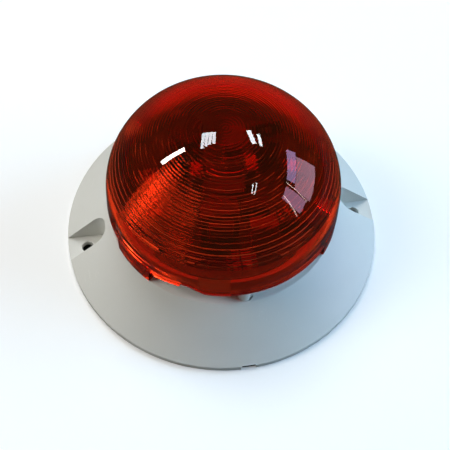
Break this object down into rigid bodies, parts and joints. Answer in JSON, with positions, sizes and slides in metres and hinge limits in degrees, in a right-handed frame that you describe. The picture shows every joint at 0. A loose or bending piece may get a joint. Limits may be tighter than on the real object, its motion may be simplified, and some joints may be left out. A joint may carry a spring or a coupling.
{
  "type": "siren with indicator light",
  "caption": "Wall-mounted siren: a conical housing with screw pockets and a sound gap, under a clear red dome lens with Fresnel rings that twists off over a flash tube and its board.",
  "frame": {"origin": "centre of the back face, on the wall", "axes": "+Z out of the wall to the top of the dome, X along the two screw pockets, rim notch on -Y"},
  "size_m": [0.13, 0.1299, 0.0715],
  "materials": {
    "housing_ivory": "satin moulded",
    "lens_red": "clear, polished outside, prism rings inside",
    "rubber_black": "matte",
    "screw_steel": "zinc plated",
    "piezo_brass": "satin",
    "piezo_ceramic": "silvered",
    "cap_black": "fine matte",
    "board_green": "solder mask",
    "tube_glass": "clear",
    "contact_nickel": "bright nickel",
    "holder_white": "matte",
    "can_sleeve": "shrink sleeve",
    "coil_tape": "taped winding",
    "ferrite_grey": "sintered",
    "film_red": "dipped",
    "package_black": "moulded",
    "resistor_beige": "lacquered",
    "terminal_grey": "moulded",
    "switch_blue": "moulded",
    "slider_white": "moulded"
  },
  "bodies": {
    "housing": {"base_housing": "housing_ivory", "rear_cover": "housing_ivory", "rear_cover_screws": "screw_steel", "cable_grommet": "rubber_black", "piezo_disc": "piezo_brass", "piezo_ceramic": "piezo_ceramic", "sounder_cap": "cap_black", "sounder_header": "cap_black", "sounder_contacts": "contact_nickel", "main_board": "board_green", "board_screws": "screw_steel", "flash_tube": "tube_glass", "tube_electrodes": "contact_nickel", "tube_holder": "holder_white", "storage_capacitor": "can_sleeve", "trigger_coil": "coil_tape", "transformer_core": "ferrite_grey", "transformer_winding": "coil_tape", "film_capacitor": "film_red", "power_transistor": "package_black", "controller_chip": "package_black", "diodes": "package_black", "resistors": "resistor_beige", "terminal_block": "terminal_grey", "terminal_screws": "screw_steel", "tone_switch_body": "switch_blue", "volume_trimmer_body": "switch_blue"},
    "lens": {"lens_dome": "lens_red"},
    "volume_rotor": {"volume_trimmer_rotor": "slider_white"},
    "slider_1": {"tone_slider_1": "slider_white"},
    "slider_2": {"tone_slider_2": "slider_white"},
    "slider_3": {"tone_slider_3": "slider_white"},
    "slider_4": {"tone_slider_4": "slider_white"}
  },
  "joints": [
    {"name": "lens_twist", "type": "hinge", "parent": "housing", "child": "lens", "pos_m": [0, 0, 0.0346], "axis": [0, 0, 1], "range_deg": [0, 45]},
    {"name": "tone_1", "type": "slide", "parent": "housing", "child": "slider_1", "axis": [0, 1, 0], "range_m": [0, 0.0016]},
    {"name": "tone_2", "type": "slide", "parent": "housing", "child": "slider_2", "axis": [0, 1, 0], "range_m": [-0.0016, 0]},
    {"name": "tone_3", "type": "slide", "parent": "housing", "child": "slider_3", "axis": [0, 1, 0], "range_m": [0, 0.0016]},
    {"name": "tone_4", "type": "slide", "parent": "housing", "child": "slider_4", "axis": [0, 1, 0], "range_m": [-0.0016, 0]},
    {"name": "volume_turn", "type": "hinge", "parent": "housing", "child": "volume_rotor", "pos_m": [0.027, 0.006, 0.0338], "axis": [0, 0, 1], "range_deg": [-135, 135]}
  ]
}
